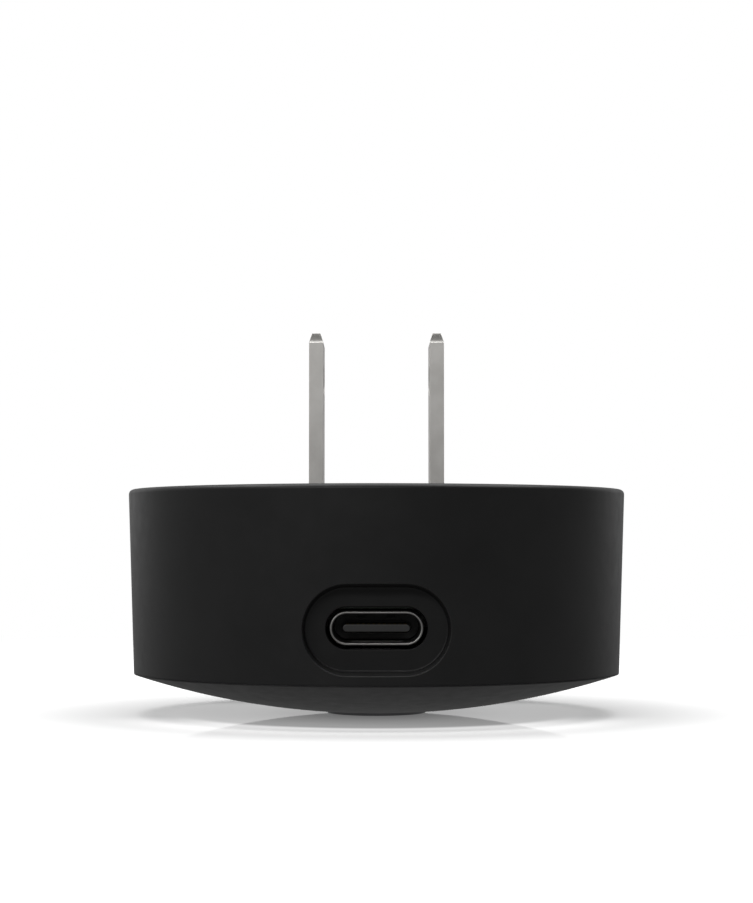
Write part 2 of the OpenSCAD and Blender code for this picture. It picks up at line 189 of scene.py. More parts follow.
def fillet_arc(corner, before, after, radius):
    """Fillet between two directions from a corner: its centre, and from there its start and its end."""
    half = before.angle(after) / 2
    centre = corner + (before + after).normalized() * radius / math.sin(half)
    start = corner + before * radius / math.tan(half) - centre
    end = corner + after * radius / math.tan(half) - centre
    return centre, start, end


def filleted(corners, steps=4):
    """Points of a closed outline of (r, z, fillet radius) corners, with each fillet as an arc."""
    outline = []
    for i, (r, z, fillet) in enumerate(corners):
        corner = Vector((r, z))
        if not fillet:
            outline.append(corner)
            continue
        before = (Vector(corners[i - 1][:2]) - corner).normalized()
        after = (Vector(corners[(i + 1) % len(corners)][:2]) - corner).normalized()
        centre, start, end = fillet_arc(corner, before, after, fillet)
        for step in range(steps + 1):
            outline.append(centre + swing(start, end, step / steps))
    return outline


def lathe(name, outline, columns=192):
    """A closed outline of (r, z) points turned about Z. Points on the axis become poles."""
    points, rings = [], []
    for r, z in outline:
        if r < ON_AXIS:
            rings.append([len(points)] * columns)
            points.append((0, 0, z))
            continue
        rings.append(range(len(points), len(points) + columns))
        for column in range(columns):
            angle = 2 * math.pi * column / columns
            points.append((r * math.sin(angle), -r * math.cos(angle), z))
    faces = []
    for ring, following in zip(rings, rings[1:] + rings[:1]):
        for column in range(columns):
            after = (column + 1) % columns
            face = [ring[column], ring[after], following[after], following[column]]
            face = list(dict.fromkeys(face))
            if len(face) > 2:
                faces.append(face)
    return solid(name, points, faces)


def refined(node, bevel, hard=HARD_DEG):
    """A clean copy of a CAD node's mesh with the edges of more than hard degrees rounded."""
    shape = bmesh.new()
    shape.from_mesh(frame["nodes"][node].data)
    bmesh.ops.remove_doubles(shape, verts=shape.verts, dist=MERGE_DIST)
    bmesh.ops.dissolve_limit(
        shape, angle_limit=math.radians(FLAT_DEG), verts=shape.verts, edges=shape.edges
    )
    points = [point.co.copy() for point in shape.verts]
    faces = [[point.index for point in face.verts] for face in shape.faces]
    shape.free()
    piece = solid(node + "_shape", points, faces, hard=hard)
    rounding = piece.modifiers.new("rounding", "BEVEL")
    rounding.width = bevel
    rounding.segments = 3
    rounding.limit_method = "ANGLE"
    rounding.angle_limit = math.radians(hard)
    rounding.use_clamp_overlap = True
    weights = piece.modifiers.new("even_shading", "WEIGHTED_NORMAL")
    weights.keep_sharp = True
    return piece


def cut(piece, tool):
    """Cuts the closed tool mesh out of the piece and removes the tool."""
    change = piece.modifiers.new("cut", "BOOLEAN")
    change.operation = "DIFFERENCE"
    change.solver = "EXACT"
    change.object = tool
    bpy.context.view_layer.update()
    result = piece.evaluated_get(bpy.context.evaluated_depsgraph_get())
    mesh = bpy.data.meshes.new_from_object(result)
    piece.modifiers.clear()
    piece.data = mesh
    smooth_by_angle(mesh)
    bpy.data.objects.remove(tool)


def prism(name, outline, y0, y1):
    """A closed prism along Y from an outline of (x, z) points."""
    count = len(outline)
    points = [(x, y, z) for y in (y0, y1) for x, z in outline]
    faces = [list(range(count)), list(range(count, 2 * count))]
    for i in range(count):
        after = (i + 1) % count
        faces.append([i, after, count + after, count + i])
    return solid(name, points, faces)


def block(name, xs, ys, zs):
    """A closed box between two values along each axis."""
    (x0, x1), (z0, z1) = xs, zs
    return prism(name, [(x0, z0), (x1, z0), (x1, z1), (x0, z1)], *ys)


def stadium_skin(name, rings, centre_z, tube=False, columns=128):
    """A closed skin over stadium rings of (width, height, y). A tube's last ring is joined to its first."""
    points = []
    for width, height, y in rings:
        flat = (width - height) / 2
        for column in range(columns):
            angle = 2 * math.pi * (column + 0.5) / columns
            x = math.copysign(flat, math.cos(angle)) + height / 2 * math.cos(angle)
            points.append((x, y, centre_z + height / 2 * math.sin(angle)))
    total = len(points)
    faces = [] if tube else [list(range(columns)), list(range(total - columns, total))]
    for start in range(0, total if tube else total - columns, columns):
        for column in range(columns):
            after = (column + 1) % columns
            following = (start + columns) % total
            faces.append([start + column, start + after, following + after, following + column])
    return solid(name, points, faces)


# ---- Side shell ----
def wall_radius(z):
    """Radius of the side wall's outside at height z."""
    return RIM_R + DRAFT * (z - RIM_Z)


def inner_radius(z):
    """Radius of the side wall's inside at height z."""
    return wall_radius(z) - WALL_T


def wall_normal(angle):
    """Outward normal of the drafted side wall at that angle from the outlet's middle."""
    return Vector((math.sin(angle), -math.cos(angle), -DRAFT)).normalized()


class Shell:
    """The side wall, turned about Z, with the outlet's recess let into a patch of its front."""

    # The patch reaches this far to both sides of the outlet's middle
    patch_angle = math.radians(24)
    patch_columns = 64
    other_columns = 156
    patch_rows = 40
    patch_z0 = RIM_Z + 0.5 * MM
    patch_z1 = POCKET_Z + 6 * MM
    rings_to_mouth = 6
    edge_steps = 6
    mouth_steps = 5
    corner_steps = 4

    def __init__(self):
        self.points, self.faces, self.normals = [], [], {}
        step = 2 * self.patch_angle / self.patch_columns
        rest = (2 * math.pi - 2 * self.patch_angle) / self.other_columns
        self.angles = [step * i - self.patch_angle for i in range(self.patch_columns + 1)]
        self.angles += [self.patch_angle + rest * i for i in range(1, self.other_columns)]
        self.turn_wall()
        self.let_in_recess()
        self.add_bosses()

    def point(self, x, y, z, normal=None):
        """Adds a point, with its exact normal where the surface is smooth, and returns its number."""
        self.points.append((x, y, z))
        if normal is not None:
            self.normals[len(self.points) - 1] = Vector(normal).normalized()
        return len(self.points) - 1

    def ring_at(self, r, z, slope=None):
        """A ring of the wall's mesh. slope is its normal as (outwards, up)."""
        ring = []
        for angle in self.angles:
            across = Vector((math.sin(angle), -math.cos(angle), 0))
            normal = across * slope[0] + Vector((0, 0, slope[1])) if slope else None
            ring.append(self.point(r * across.x, r * across.y, z, normal))
        return ring

    def bridge(self, ring, following, skip=()):
        """Faces between two rings, leaving out the columns to skip."""
        for i in range(len(ring)):
            after = (i + 1) % len(ring)
            if i not in skip:
                self.faces.append([ring[i], ring[after], following[after], following[i]])

    def turn_wall(self):
        """Rings of the wall's closed section, leaving out the patch of the recess outside and inside."""
        heights = [
            self.patch_z0 + (self.patch_z1 - self.patch_z0) * i / self.patch_rows
            for i in range(self.patch_rows + 1)
        ]
        bottom = shell_low.z
        round_z = FACE_Z - EDGE_R
        drafted = (1, -DRAFT)
        self.outer = [self.ring_at(wall_radius(z), z, drafted) for z in heights]
        self.inner = [self.ring_at(inner_radius(z), z, (-1, DRAFT)) for z in heights]
        edge = [
            self.ring_at(
                wall_radius(round_z) - EDGE_R * (1 - math.cos(turn)),
                round_z + EDGE_R * math.sin(turn),
                (math.cos(turn), math.sin(turn)),
            )
            for turn in [math.radians(90 / self.edge_steps * i) for i in range(1, self.edge_steps + 1)]
        ]
        section = [
            self.ring_at(inner_radius(bottom), bottom),
            self.ring_at(wall_radius(bottom) - SEAM, bottom),
            self.ring_at(wall_radius(bottom + SEAM), bottom + SEAM, drafted),
            *self.outer,
            self.ring_at(wall_radius(round_z), round_z, drafted),
            *edge,
            self.ring_at(SEAT_R, FACE_Z),
            self.ring_at(SEAT_R, PLATE_Z0),
            self.ring_at(inner_radius(PLATE_Z0), PLATE_Z0),
            *reversed(self.inner),
        ]
        patch = range(self.patch_columns)
        holed = {id(ring) for ring in self.outer[:-1]} | {id(ring) for ring in self.inner[1:]}
        for ring, following in zip(section, section[1:] + section[:1]):
            self.bridge(ring, following, patch if id(ring) in holed else ())

    def patch_edge(self, rows):
        """The patch's edge, once round: bottom, right, top and left."""
        last = self.patch_columns
        edge = [rows[0][column] for column in range(last)]
        edge += [row[last] for row in rows[:-1]]
        edge += [rows[-1][column] for column in range(last, 0, -1)]
        edge += [row[0] for row in reversed(rows[1:])]
        return edge

    def outline_point(self, ray, flat, radius, middle):
        """Where a ray meets a stadium outline: (x, z). flat is half the straight part's length."""
        share, direction = ray
        return share * flat + radius * direction.x, middle + radius * direction.y

    def stadium_ring(self, flat, radius, middle, y, lean=None):
        """A ring of the recess at depth y. lean is its normal as (away from the middle, along Y)."""
        ring = []
        for ray in self.rays:
            x, z = self.outline_point(ray, flat, radius, middle)
            across = ray[1]
            normal = (across.x * lean[0], lean[1], across.y * lean[0]) if lean else None
            ring.append(self.point(x, y, z, normal))
        return ring

    def on_wall(self, x, z, radius_at):
        """The point of the wall's outside or inside that lies behind (x, z)."""
        return Vector((x, -math.sqrt(radius_at(z) ** 2 - x * x), z))

    def patch_to(self, edge, mouth, radius_at, normal_at):
        """Rings on the wall's surface between the patch's edge and the points of a mouth in it."""
        before = edge
        starts = [Vector(self.points[i]) for i in edge]
        for step in range(1, self.rings_to_mouth + 1):
            share = step / self.rings_to_mouth
            ring = []
            for start, end in zip(starts, mouth):
                angle0 = math.atan2(start.x, -start.y)
                angle1 = math.atan2(end.x, -end.y)
                angle = angle0 + (angle1 - angle0) * share
                z = start.z + (end.z - start.z) * share
                r = radius_at(z)
                ring.append(self.point(r * math.sin(angle), -r * math.cos(angle), z, normal_at(angle)))
            self.bridge(before, ring)
            before = ring
        return before

    def let_in_recess(self):
        """The recess, from the fillet at its mouth to the back of its block inside the wall."""
        flat = (POCKET_W - POCKET_H) / 2
        mouth_y = -wall_radius(POCKET_Z)
        floor_y = mouth_y + POCKET_D
        taper = POCKET_DRAFT / POCKET_D
        edge = self.patch_edge(self.outer)
        self.rays = []
        for i in edge:
            x, _, z = self.points[i]
            near = max(-flat, min(flat, x))
            self.rays.append((near / flat, Vector((x - near, z - POCKET_Z)).normalized()))

        def recess_radius(y):
            return POCKET_H / 2 - taper * (y - mouth_y)

        def on_recess(ray, y):
            x, z = self.outline_point(ray, flat, recess_radius(y), POCKET_Z)
            return Vector((x, y, z))

        # Fillet between the side wall and the recess's wall. The wall curves, so repeating finds the corner
        tries = 5
        starts, arcs = [], []
        for ray in self.rays:
            corner = on_recess(ray, mouth_y)
            for _ in range(tries):
                corner = on_recess(ray, self.on_wall(corner.x, corner.z, wall_radius).y)
            x, z = self.outline_point(ray, flat, recess_radius(corner.y) + SEAM, POCKET_Z)
            outwards = (self.on_wall(x, z, wall_radius) - corner).normalized()
            inwards = (on_recess(ray, corner.y + SEAM) - corner).normalized()
            centre, start, end = fillet_arc(corner, outwards, inwards, MOUTH_FILLET)
            starts.append(centre + start)
            arcs.append([
                (centre, swing(start, end, step / self.mouth_steps))
                for step in range(1, self.mouth_steps + 1)
            ])
        ring = self.patch_to(edge, starts, wall_radius, wall_normal)
        for step in range(self.mouth_steps):
            following = [self.point(*(arc[step][0] + arc[step][1]), arc[step][1]) for arc in arcs]
            self.bridge(ring, following)
            ring = following

        # Recess's wall, its rounded corner and its floor
        lean = math.hypot(1, taper)
        corner_y = floor_y - FLOOR_FILLET
        corner_r = recess_radius(corner_y) - FLOOR_FILLET * lean
        rings = []
        first = math.atan(taper)
        for step in range(self.corner_steps + 1):
            turn = first + (math.pi / 2 - first) * step / self.corner_steps
            rings.append(self.stadium_ring(
                flat, corner_r + FLOOR_FILLET * math.cos(turn), POCKET_Z,
                corner_y + FLOOR_FILLET * math.sin(turn), (-math.cos(turn), -math.sin(turn)),
            ))
        hole_h = USB_H + 2 * USB_GAP
        hole_flat = (USB_W - USB_H) / 2
        for share in (1 / 3, 2 / 3):
            rings.append(self.stadium_ring(
                flat + (hole_flat - flat) * share,
                corner_r + (hole_h / 2 + HOLE_FILLET - corner_r) * share,
                POCKET_Z + (USB_Z - POCKET_Z) * share, floor_y, (0, -1),
            ))
        for step in range(self.corner_steps + 1):
            turn = math.radians(90 / self.corner_steps * step)
            rings.append(self.stadium_ring(
                hole_flat, hole_h / 2 + HOLE_FILLET * (1 - math.sin(turn)), USB_Z,
                floor_y + HOLE_FILLET * (1 - math.cos(turn)), (-math.sin(turn), -math.cos(turn)),
            ))
        back_y = floor_y + POCKET_FLOOR_T
        rings.append(self.stadium_ring(hole_flat, hole_h / 2, USB_Z, back_y))
        rings.append(self.stadium_ring(flat, POCKET_BACK_R, POCKET_Z, back_y))
        for following in rings:
            self.bridge(ring, following)
            ring = following

        # Back of the recess's block, out to the inside of the side wall
        root = []
        for ray in self.rays:
            x, z = self.outline_point(ray, flat, POCKET_BACK_R, POCKET_Z)
            root.append(self.on_wall(x, z, inner_radius))
        inside = self.patch_to(
            self.patch_edge(self.inner), root, inner_radius, lambda angle: -wall_normal(angle)
        )
        self.bridge(ring, inside)

    def add_bosses(self):
        """Four screw bosses that stand free of the wall, each with its bore from above."""
        boss_at, boss_r, bore_r = 20.2 * MM, 2.6 * MM, 0.86 * MM
        boss_z0 = usb_high.z + 0.2 * MM
        bore_z0 = boss_z0 + 1 * MM
        section = [(boss_r, boss_z0), (boss_r, PLATE_Z0), (bore_r, PLATE_Z0), (bore_r, bore_z0)]
        columns = 48
        for quarter in range(4):
            turn = math.radians(45 + 90 * quarter)
            middle = Vector((math.cos(turn), math.sin(turn), 0)) * boss_at
            rings = []
            for r, z in section:
                rings.append([
                    self.point(middle.x + r * math.cos(a), middle.y + r * math.sin(a), z)
                    for a in [2 * math.pi * i / columns for i in range(columns)]
                ])
            for ring, following in zip(rings, rings[1:]):
                self.bridge(ring, following)
            self.faces.append(rings[0])
            self.faces.append(rings[-1])


def build_side_shell():
    """The side wall with its recess and its bosses, as one piece."""
    shell = Shell()
    return solid("side_wall", shell.points, shell.faces, shell.normals)


# ---- Front cover, ring and button ----
def dome_z(radius, distance):
    """Height of a sphere about the dome's centre at that distance from the axis."""
    return DOME_MID - math.sqrt(radius * radius - distance * distance)


def dome_arc(radius, start, end, steps):
    """Corners of an outline that follow the dome from one distance to another."""
    distances = [start + (end - start) * i / steps for i in range(steps + 1)]
    return [(r, dome_z(radius, r), 0) for r in distances]


def build_front_cover():
    """Dome with the disc's hole and collar, and a lip that is notched for the outlet's recess."""
    hole_r = RING_R + RING_GAP
    edge = 0.05 * MM
    lip_r0, lip_r1, lip_z = 22.5 * MM, 23.7 * MM, RIM_Z + 1.9 * MM
    collar_r0, collar_z = FLANGE_R + 0.15 * MM, 4.6 * MM
    collar_r1 = collar_r0 + 1 * MM
    inner_r = DOME_R - DOME_T
    corners = [
        (hole_r, dome_z(DOME_R, hole_r), edge),
        *dome_arc(DOME_R, hole_r + 2 * edge, RIM_R - 2 * edge, 64),
        (RIM_R, RIM_Z, edge / 2),
        (RIM_R, COVER_TOP, edge / 2),
        (lip_r1, COVER_TOP, 0),
        (lip_r1, lip_z, 0),
        (lip_r0, lip_z, 0),
        *dome_arc(inner_r, lip_r0, collar_r1, 24),
        (collar_r1, collar_z, 0),
        (collar_r0, collar_z, 0),
        (collar_r0, dome_z(inner_r, collar_r0), 0),
        (hole_r, dome_z(inner_r, hole_r), 0),
    ]
    piece = lathe("front_dome", filleted(corners), columns=256)
    half, deep = POCKET_W / 2 + 1.5 * MM, 3 * MM
    cut(piece, block(
        "lip_notch", (-half, half), (-lip_r1 - deep, -lip_r1 + deep), (shell_low.z, lip_z + SEAM)
    ))
    return piece


def build_button_ring():
    """Fixed ring around the button, with a flange that the cover holds."""
    bore_r = BUTTON_R + BUTTON_GAP
    edge = 0.05 * MM
    flange_z1 = ring_high.z
    flange_z0 = flange_z1 - FLANGE_T
    return lathe("ring_around_button", filleted([
        (bore_r, 0, edge), (RING_R, 0, RING_EDGE), (RING_R, flange_z0, 0), (FLANGE_R, flange_z0, 0),
        (FLANGE_R, flange_z1, 0), (SLEEVE_R, flange_z1, 0), (SLEEVE_R, RING_T, 0), (bore_r, RING_T, 0),
    ], steps=6), columns=128)


def build_button():
    """Button with a slightly dished face, and the collar that keeps it behind its ring."""
    face_z = button_low.z
    edge = 0.1 * MM
    dish = 0.02 * MM
    face = [(BUTTON_R * share, face_z + dish * (1 - share * share), 0) for share in (0, 0.25, 0.5, 0.75)]
    return lathe("button_cap", filleted([
        *face, (BUTTON_R, face_z, edge), (BUTTON_R, CAP_Z0, 0),
        (CAP_R, CAP_Z0, 0), (CAP_R, button_high.z, 0), (0, button_high.z, 0),
    ], steps=6), columns=96)


# ---- USB-C connector ----
def build_usb_shell():
    """Drawn steel shell with a rolled front edge, a slot in its lower wall and the seam of its sheet."""
    sheet = 0.3 * MM
    roll = 0.13 * MM
    roll_steps = 8
    slot_half, slot_y0, slot_y1 = 2.45 * MM, USB_FRONT + 2.2 * MM, USB_FRONT + 3.3 * MM
    seam_x, seam_half, seam_y1 = 0.5 * MM, 0.035 * MM, USB_FRONT + 1.4 * MM
    inner_w, inner_h = USB_W - 2 * sheet, USB_H - 2 * sheet
    rings = [(inner_w, inner_h, usb_high.y), (inner_w, inner_h, USB_FRONT + 2 * roll)]
    for step in range(roll_steps + 1):
        turn = math.pi * step / roll_steps
        grow = 2 * (sheet - roll) - 2 * roll * math.cos(turn)
        rings.append((inner_w + grow, inner_h + grow, USB_FRONT + roll * (1 - math.sin(turn))))
    rings.append((USB_W, USB_H, usb_high.y))
    piece = stadium_skin("usb_sleeve", rings, USB_Z, tube=True)
    cut(piece, block("slot", (-slot_half, slot_half), (slot_y0, slot_y1), (USB_Z - USB_H, USB_Z)))
    bottom = USB_Z - USB_H / 2
    cut(piece, block(
        "seam", (seam_x - seam_half, seam_x + seam_half), (USB_FRONT - sheet, seam_y1),
        (bottom - seam_half, bottom + 2 * sheet),
    ))
    return piece


def build_usb_tongue():
    """Moulded tongue and the base that it stands on, with a groove around it and two notches."""
    edge = 0.06 * MM
    front = tongue_low.y
    rings = [
        (TONGUE_W - 4 * edge, TONGUE_T - 4 * edge, front),
        (TONGUE_W - 2 * edge, TONGUE_T - 2 * edge, front),
        (TONGUE_W - 0.6 * edge, TONGUE_T - 0.6 * edge, front + 0.3 * edge),
        (TONGUE_W, TONGUE_T, front + edge),
        (TONGUE_W, TONGUE_T, BASE_Y + NOTCH_L),
        (GROOVE_W, GROOVE_H, BASE_Y + NOTCH_L),
        (GROOVE_W, GROOVE_H, BASE_Y),
        (BASE_W - 2 * edge, BASE_H - 2 * edge, BASE_Y),
        (BASE_W, BASE_H, BASE_Y + edge),
        (BASE_W, BASE_H, usb_high.y),
    ]
    piece = stadium_skin("usb_tongue_and_base", rings, USB_Z)
    base_top = USB_Z + BASE_H / 2
    wide, narrow = 0.5 * MM, 0.4 * MM
    top, foot = base_top + 0.1 * MM, base_top - 0.4 * MM
    for middle in (-NOTCH_X, NOTCH_X):
        outline = [
            (middle - wide, top), (middle + wide, top), (middle + narrow, foot), (middle - narrow, foot),
        ]
        cut(piece, prism("notch", outline, BASE_Y - NOTCH_L, BASE_Y + NOTCH_L))
    return piece


# ---- Materials ----
class Finish:
    """A Principled material whose colour, roughness and relief come from noise in object space."""

    # The middle part of the noise's values, which the colours and the gloss run across
    colour_span = (0.35, 0.65)
    gloss_span = (0.3, 0.7)

    def __init__(self, name, **values):
        self.material = bpy.data.materials.new(name)
        self.material.use_nodes = True
        self.tree = self.material.node_tree
        self.shader = self.tree.nodes["Principled BSDF"]
        for socket, value in values.items():
            self.shader.inputs[socket.replace("_", " ")].default_value = value
        self.place = self.tree.nodes.new("ShaderNodeTexCoord").outputs["Object"]
        self.relief = None

    def noise(self, size, detail=3.0, stretch=(1, 1, 1), roughness=0.5):
        """Noise with features of about that size in metres, drawn out along an axis by stretch."""
        mapping = self.tree.nodes.new("ShaderNodeMapping")
        mapping.inputs["Scale"].default_value = [1 / (size * s) for s in stretch]
        self.tree.links.new(self.place, mapping.inputs["Vector"])
        texture = self.tree.nodes.new("ShaderNodeTexNoise")
        texture.inputs["Scale"].default_value = 1.0
        texture.inputs["Detail"].default_value = detail
        texture.inputs["Roughness"].default_value = roughness
        self.tree.links.new(mapping.outputs["Vector"], texture.inputs["Vector"])
        return texture.outputs["Fac"]

    def colours(self, factor, dark, light):
        """Base colour that runs between two colours."""
        ramp = self.tree.nodes.new("ShaderNodeValToRGB")
        for element, position, colour in zip(ramp.color_ramp.elements, self.colour_span, (dark, light)):
            element.position = position
            element.color = (*colour, 1)
        self.tree.links.new(factor, ramp.inputs["Fac"])
        self.tree.links.new(ramp.outputs["Color"], self.shader.inputs["Base Color"])
        return self

    def gloss(self, factor, low, high):
        """Roughness that runs between two values."""
        spread = self.tree.nodes.new("ShaderNodeMapRange")
        spread.inputs["From Min"].default_value = self.gloss_span[0]
        spread.inputs["From Max"].default_value = self.gloss_span[1]
        spread.inputs["To Min"].default_value = low
        spread.inputs["To Max"].default_value = high
        self.tree.links.new(factor, spread.inputs["Value"])
        self.tree.links.new(spread.outputs["Result"], self.shader.inputs["Roughness"])
        return self

    def bump(self, factor, height, strength=1.0):
        """Relief of that height in metres, on top of any relief before it."""
        node = self.tree.nodes.new("ShaderNodeBump")
        node.inputs["Distance"].default_value = height
        node.inputs["Strength"].default_value = strength
        self.tree.links.new(factor, node.inputs["Height"])
        if self.relief:
            self.tree.links.new(self.relief, node.inputs["Normal"])
        self.relief = node.outputs["Normal"]
        self.tree.links.new(self.relief, self.shader.inputs["Normal"])
        return self


def moulded(name, dark, light, roughness, grain=0.12 * MM, height=2e-6, **values):
    """Moulded plastic: fine spark-eroded grain, faint flow marks and an uneven gloss."""
    finish = Finish(name, **values)
    finish.colours(finish.noise(6 * MM, 4), dark, light)
    finish.gloss(finish.noise(1.5 * MM, 5), roughness - 0.03, roughness + 0.03)
    finish.bump(finish.noise(grain, 2), height)
    return finish.material


def coined_tip(finish, roughness, curve=-140.0):
    """Polishes the blades' bevels and makes them slightly convex.

    curve times the squared distance in metres from a bevel's middle is its relief.
    """
    tree = finish.tree

    def maths(operation, first, second):
        node = tree.nodes.new("ShaderNodeMath")
        node.operation = operation
        for socket, value in zip(node.inputs, (first, second)):
            if isinstance(value, float):
                socket.default_value = value
            else:
                tree.links.new(value, socket)
        return node.outputs[0]

    parts = tree.nodes.new("ShaderNodeSeparateXYZ")
    tree.links.new(finish.place, parts.inputs[0])
    above = maths("SUBTRACT", parts.outputs["Z"], TIP_Z - TIP_H)
    on_tip = maths("GREATER_THAN", above, 0.0)
    brushed_gloss = finish.shader.inputs["Roughness"].links[0].from_socket
    share = tree.nodes.new("ShaderNodeMix")
    share.inputs["B"].default_value = roughness
    tree.links.new(on_tip, share.inputs["Factor"])
    tree.links.new(brushed_gloss, share.inputs["A"])
    tree.links.new(share.outputs["Result"], finish.shader.inputs["Roughness"])
    middle = maths("SUBTRACT", above, TIP_H / 2)
    crown = maths("MULTIPLY", maths("MULTIPLY", middle, middle), curve)
    finish.bump(maths("MULTIPLY", crown, on_tip), 1.0)


def brushed(name, dark, light, roughness, stretch=(1, 1, 30), tip_roughness=None, **values):
    """Rolled or brushed metal: fine scratches along one axis and soft blotches in the plating.

    tip_roughness is that of the blades' coined bevels, where the piece has them.
    """
    finish = Finish(name, Metallic=1.0, **values)
    finish.colours(finish.noise(2.5 * MM, 4), dark, light)
    finish.gloss(finish.noise(0.08 * MM, 4, stretch), roughness - 0.06, roughness + 0.08)
    finish.bump(finish.noise(0.06 * MM, 3, stretch), 8e-7)
    if tip_roughness is not None:
        coined_tip(finish, tip_roughness)
    return finish.material


# Pieces that show: name, darker colour, lighter colour, roughness
HOUSING = moulded(
    "housing_black", (0.0135, 0.0135, 0.0137), (0.0160, 0.0160, 0.0162), 0.36, Specular_IOR_Level=0.24
)
RING = moulded("ring_black", (0.15, 0.15, 0.154), (0.18, 0.18, 0.184), 0.30, Metallic=0.85)
BUTTON = moulded("button_smoke", (0.30, 0.30, 0.305), (0.35, 0.35, 0.355), 0.24, Metallic=0.85)
NICKEL = brushed("blade_nickel", (0.61, 0.595, 0.57), (0.69, 0.675, 0.65), 0.40, tip_roughness=0.22)
STEEL = brushed("usb_steel", (0.27, 0.265, 0.255), (0.32, 0.315, 0.305), 0.36, (1, 12, 1))
SCREW = brushed("screw_steel", (0.36, 0.36, 0.36), (0.44, 0.44, 0.44), 0.36, (6, 6, 1))
TONGUE = moulded(
    "usb_black", (0.022, 0.022, 0.022), (0.028, 0.028, 0.028), 0.50, Specular_IOR_Level=0.6
)

# Inner pieces: slot, kind of finish, darker colour, lighter colour, roughness
INNER = {
    "carrier_ivory": (moulded, (0.62, 0.58, 0.46), (0.70, 0.66, 0.54), 0.45),
    "contact_brass": (brushed, (0.60, 0.42, 0.16), (0.70, 0.50, 0.22), 0.32),
    "contact_gold": (brushed, (0.12, 0.09, 0.04), (0.15, 0.115, 0.05), 0.55),
    "board_green": (moulded, (0.005, 0.022, 0.010), (0.008, 0.032, 0.015), 0.34),
    "radio_blue": (moulded, (0.008, 0.028, 0.11), (0.012, 0.040, 0.15), 0.30),
    "sheet_white": (moulded, (0.72, 0.72, 0.70), (0.80, 0.80, 0.78), 0.50),
    "switch_black": (moulded, (0.012, 0.012, 0.013), (0.018, 0.018, 0.019), 0.40),
    "stem_white": (moulded, (0.66, 0.66, 0.64), (0.74, 0.74, 0.72), 0.40),
    "led_body": (moulded, (0.66, 0.62, 0.40), (0.76, 0.72, 0.48), 0.25),
    "light_window": (moulded, (0.62, 0.62, 0.60), (0.72, 0.72, 0.70), 0.22),
    "ferrite": (moulded, (0.030, 0.030, 0.034), (0.045, 0.045, 0.050), 0.55),
    "winding_tape": (moulded, (0.60, 0.42, 0.04), (0.70, 0.50, 0.07), 0.28),
    "copper_wire": (brushed, (0.50, 0.17, 0.06), (0.62, 0.23, 0.09), 0.28),
    "capacitor_can": (moulded, (0.012, 0.014, 0.045), (0.018, 0.020, 0.060), 0.32),
    "capacitor_metal": (brushed, (0.55, 0.56, 0.57), (0.64, 0.65, 0.66), 0.34),
    "capacitor_box": (moulded, (0.60, 0.44, 0.05), (0.68, 0.51, 0.08), 0.38),
    "disc_blue": (moulded, (0.020, 0.10, 0.30), (0.030, 0.14, 0.38), 0.35),
    "fuse_ceramic": (moulded, (0.55, 0.50, 0.40), (0.64, 0.59, 0.48), 0.45),
    "chip_black": (moulded, (0.010, 0.010, 0.011), (0.015, 0.015, 0.016), 0.50),
    "tin_plate": (brushed, (0.50, 0.50, 0.50), (0.60, 0.60, 0.60), 0.35),
}


def paint(piece, material):
    """Gives the piece that one material."""
    piece.data.materials.clear()
    piece.data.materials.append(material)


def dress(piece, material, node, body="housing"):
    """Puts a new piece in a CAD node's place."""
    paint(piece, material)
    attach(piece, body)
    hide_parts(node)


def dress_outside():
    """The pieces that show, each with its finish. The number is the width of its rounded edges."""
    dress(build_side_shell(), HOUSING, "side_shell")
    dress(build_front_cover(), HOUSING, "front_cover")
    dress(refined("rear_plate", 0.08 * MM), HOUSING, "rear_plate")
    dress(refined("case_screws", 0.06 * MM), SCREW, "case_screws")
    for blade in ("blade_left", "blade_right"):
        dress(refined(blade, 0.015 * MM, hard=12), NICKEL, blade)
    dress(build_button_ring(), RING, "button_ring")
    dress(build_button(), BUTTON, "front_button", "button")
    dress(build_usb_shell(), STEEL, "usb_shell")
    dress(build_usb_tongue(), TONGUE, "usb_tongue")


def dress_inside():
    """The CAD nodes that stay, each with the finish of its slot in the record."""
    finishes = {}
    for slot, (kind, dark, light, roughness) in INNER.items():
        finishes[slot] = kind(slot, dark, light, roughness)
    for row in frame["record"]["subparts"]:
        node = frame["nodes"][row["node"]]
        if not node.hide_render:
            paint(node, finishes[row["material_slot"]])


# ---- Stage, light and camera ----
# Floor: start and end in millimetres, and the value at both. The two SIDE ones are along Y from the
# axis, which is towards the back, and the others are distances from the axis
MIRROR_FADE = (22, 48, 0.28, 0)
# Painted glow that stands in for light seeping under the dome and lightens the floor's shadow. It is dimmer
# near the axis as painted shade, and it fades out past the rim and towards the back
SEEP_GLOW_IN = (0, 16, 0.10, 0.24)
SEEP_GLOW_OUT = (21, 25, 1, 0.1)
SEEP_GLOW_SIDE = (10, 18, 1, 0.25)
# Painted glow that stands in for the front lamp's light and makes a lit band at the front edge of the
# floor's shadow
FRONT_GLOW_IN = (19, 21.5, 0.03, 0.45)
FRONT_GLOW_SIDE = (-20, -4, 1, 0)
FRONT_GLOW_OUT = (23, 31, 1, 0.05)
PLAIN_WHITE = (80, 200, 0, 1)
# Painted glow of the floor that the object reflects and is lit by, dimmer near the object as painted shade
REFLECTED_FLOOR_GLOW = (18, 40, 0.175, 0.24)
FLOOR_HALF = 1.5
FLOOR_Z = -0.02 * MM

# Studio that the object reflects: (position, level) of its grey from left to right, and of the share
# of white over it as the direction turns to the back
STUDIO_ACROSS = [(0.0, 0.40), (0.2, 0.30), (0.5, 0.20), (0.75, 0.12), (0.92, 0.10), (1.0, 0.22)]
WHITE_BEHIND = [(0.3, 0.0), (0.5, 0.2), (0.65, 0.5), (0.83, 0.5), (0.93, 0.2), (0.975, 0.1), (0.995, 0.8)]

# Softboxes: place and size in metres, and power in watts
SOFTBOXES = {
    "softbox_above": ((0, 0, 0.5), (1.0, 0.5), 5.4),
    "softbox_front": ((-0.33, -0.9, 0.40), (1.1, 0.13), 2.2),
}
SOFTBOX_AIM = (0, 0, 0.012)


